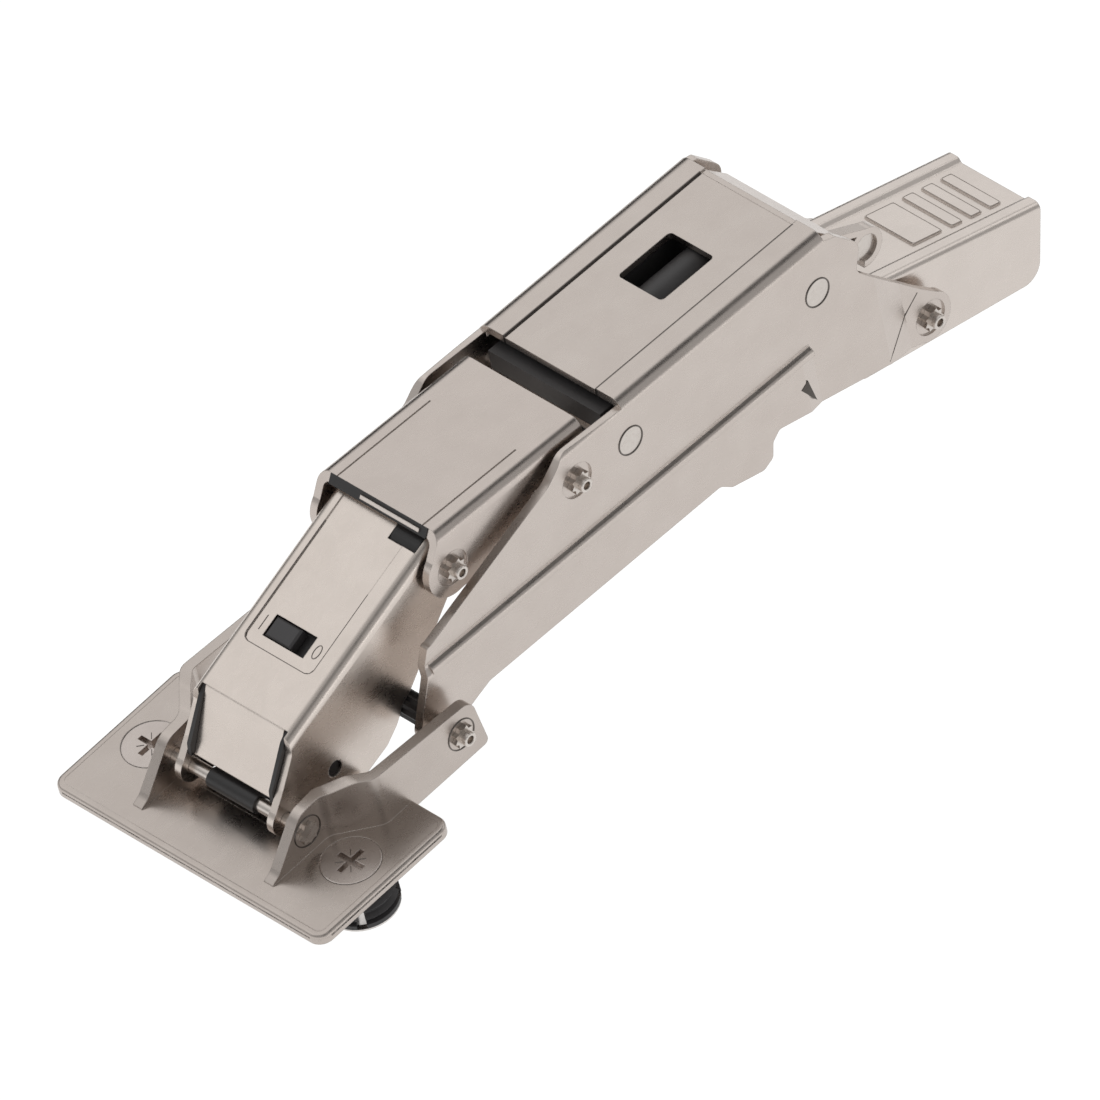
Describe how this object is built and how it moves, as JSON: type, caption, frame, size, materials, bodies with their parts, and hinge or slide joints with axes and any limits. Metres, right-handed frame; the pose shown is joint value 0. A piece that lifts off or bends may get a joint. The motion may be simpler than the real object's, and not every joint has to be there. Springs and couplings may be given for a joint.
{
  "type": "concealed cup hinge",
  "caption": "Concealed wide-angle hinge for a thin cabinet door, with a flange plate, folded links, a long lever and a channel arm.",
  "frame": {"origin": "on the arm's seating plane, directly below the main pivot, midway across", "axes": "+X across the hinge, +Y from the door end towards the arm's free end, +Z away from the cabinet side"},
  "size_m": [0.061, 0.1826, 0.0737],
  "materials": {
    "plated_steel": "satin nickel plating",
    "pin_steel": "bright",
    "black_plastic": "matt moulded",
    "slider_plastic": "matt moulded"
  },
  "bodies": {
    "arm": {"arm_channel": "plated_steel", "hook_pin": "pin_steel", "strut_arm_pin": "pin_steel"},
    "long_lever": {"long_lever": "plated_steel", "curl_pin": "pin_steel", "arm_pin": "pin_steel", "link_stub_right": "pin_steel", "link_stub_left": "pin_steel", "front_rivet": "pin_steel", "rear_rivet": "pin_steel", "damper_housing": "black_plastic"},
    "middle_link": {"middle_link": "plated_steel", "elbow_pin": "pin_steel", "strut_link_pin": "pin_steel"},
    "control_strut": {"control_strut": "plated_steel"},
    "door_plate": {"door_plate": "plated_steel", "front_pin": "pin_steel", "front_sleeve": "black_plastic", "rear_pin": "pin_steel", "rear_sleeve": "black_plastic", "door_screw_right": "plated_steel", "door_screw_left": "plated_steel", "dowel_right": "black_plastic", "dowel_left": "black_plastic"},
    "switch_link": {"switch_link": "plated_steel", "soft_close_body": "black_plastic"},
    "switch_slider": {"switch_slider": "slider_plastic"}
  },
  "joints": [
    {"name": "lever_pivot", "type": "hinge", "parent": "arm", "child": "long_lever", "pos_m": [0, 0, 0.0085], "axis": [1, 0, 0], "range_deg": [-42.2, 0]},
    {"name": "plate_pivot", "type": "hinge", "parent": "long_lever", "child": "door_plate", "pos_m": [0, -0.1136, -0.0125], "axis": [1, 0, 0], "range_deg": [-63.5, 0]},
    {"name": "link_pivot", "type": "hinge", "parent": "long_lever", "child": "middle_link", "pos_m": [0, -0.0818, 0.0182], "axis": [1, 0, 0], "range_deg": [-69.07, 0]},
    {"name": "switch_pivot", "type": "hinge", "parent": "door_plate", "child": "switch_link", "pos_m": [0, -0.142, -0.0201], "axis": [1, 0, 0], "range_deg": [0, 60.11]},
    {"name": "strut_pivot", "type": "hinge", "parent": "arm", "child": "control_strut", "pos_m": [0, -0.00864, 0.01101], "axis": [1, 0, 0], "range_deg": [-52.27, 0]},
    {"name": "switch_slide", "type": "slide", "parent": "switch_link", "child": "switch_slider", "axis": [1, 0, 0], "range_m": [0, 0.0028]}
  ],
  "couplings": [
    {"joint": "plate_pivot", "follows": "lever_pivot", "ratio": 1.5},
    {"joint": "link_pivot", "follows": "lever_pivot", "ratio": 1.6321},
    {"joint": "switch_pivot", "follows": "lever_pivot", "ratio": -1.4197},
    {"joint": "strut_pivot", "follows": "lever_pivot", "ratio": 1.234}
  ]
}
